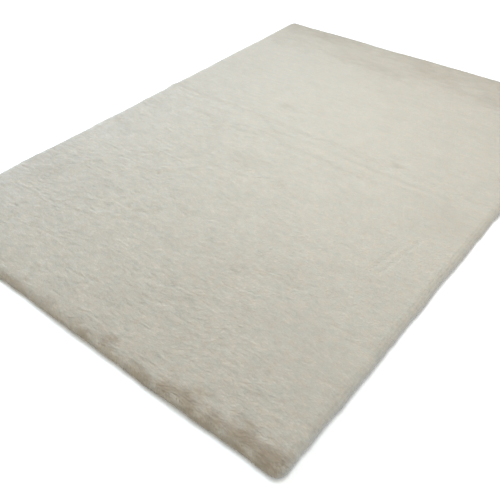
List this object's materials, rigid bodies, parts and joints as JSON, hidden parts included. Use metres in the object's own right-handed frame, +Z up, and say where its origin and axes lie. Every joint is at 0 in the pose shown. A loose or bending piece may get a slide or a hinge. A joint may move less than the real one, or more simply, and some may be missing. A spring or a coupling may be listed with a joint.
{
  "type": "rabbit fur rug",
  "caption": "Rectangular floor rug with a short, thick bed of soft fur, tapered locks round its rim and a thin felt backing, lying flat.",
  "frame": {"origin": "on the floor, under the middle of the rug", "axes": "+X across the rug, +Y along its length towards the end that is far away in the picture, +Z up"},
  "size_m": [1.2014, 1.7042, 0.0235],
  "materials": {
    "backing_felt": "matt dark grey felt",
    "fur": "soft, matt, warm light grey fur"
  },
  "bodies": {
    "root": {"backing": "backing_felt", "fur_pile": "fur"}
  },
  "joints": []
}
